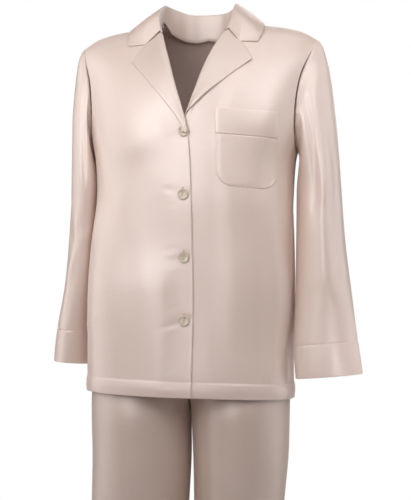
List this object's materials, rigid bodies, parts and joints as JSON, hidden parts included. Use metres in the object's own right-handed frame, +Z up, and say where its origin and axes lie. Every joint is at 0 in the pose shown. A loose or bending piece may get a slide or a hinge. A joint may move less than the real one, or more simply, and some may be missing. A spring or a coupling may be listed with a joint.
{
  "type": "pyjama set",
  "caption": "Women's satin pyjama set worn and standing: a long-sleeved shirt with a notched collar, chest pocket and buttoned front over wide-leg trousers, hollow.",
  "frame": {"origin": "midway between the two points where the shirt's shoulder seams meet its neckline, where the wearer's shoulders carry the set", "axes": "+Z up along the body, the front faces -Y, +X is the wearer's left"},
  "size_m": [0.5541, 0.2681, 1.507],
  "materials": {
    "satin": "champagne satin weave with a soft sheen",
    "button": "pearly beige gloss",
    "satin_trousers": "champagne satin weave with a soft sheen"
  },
  "bodies": {
    "root": {"shirt_front_right": "satin", "shirt_front_left": "satin", "shirt_back": "satin", "collar": "satin", "lapel_right": "satin", "lapel_left": "satin", "sleeve_right": "satin", "sleeve_left": "satin", "cuff_right": "satin", "cuff_left": "satin", "pocket": "satin", "pocket_band": "satin", "button_1": "button", "button_2": "button", "button_3": "button", "button_4": "button", "trouser_front_right": "satin_trousers", "trouser_front_left": "satin_trousers", "trouser_back_right": "satin_trousers", "trouser_back_left": "satin_trousers", "waistband": "satin_trousers"}
  },
  "joints": []
}
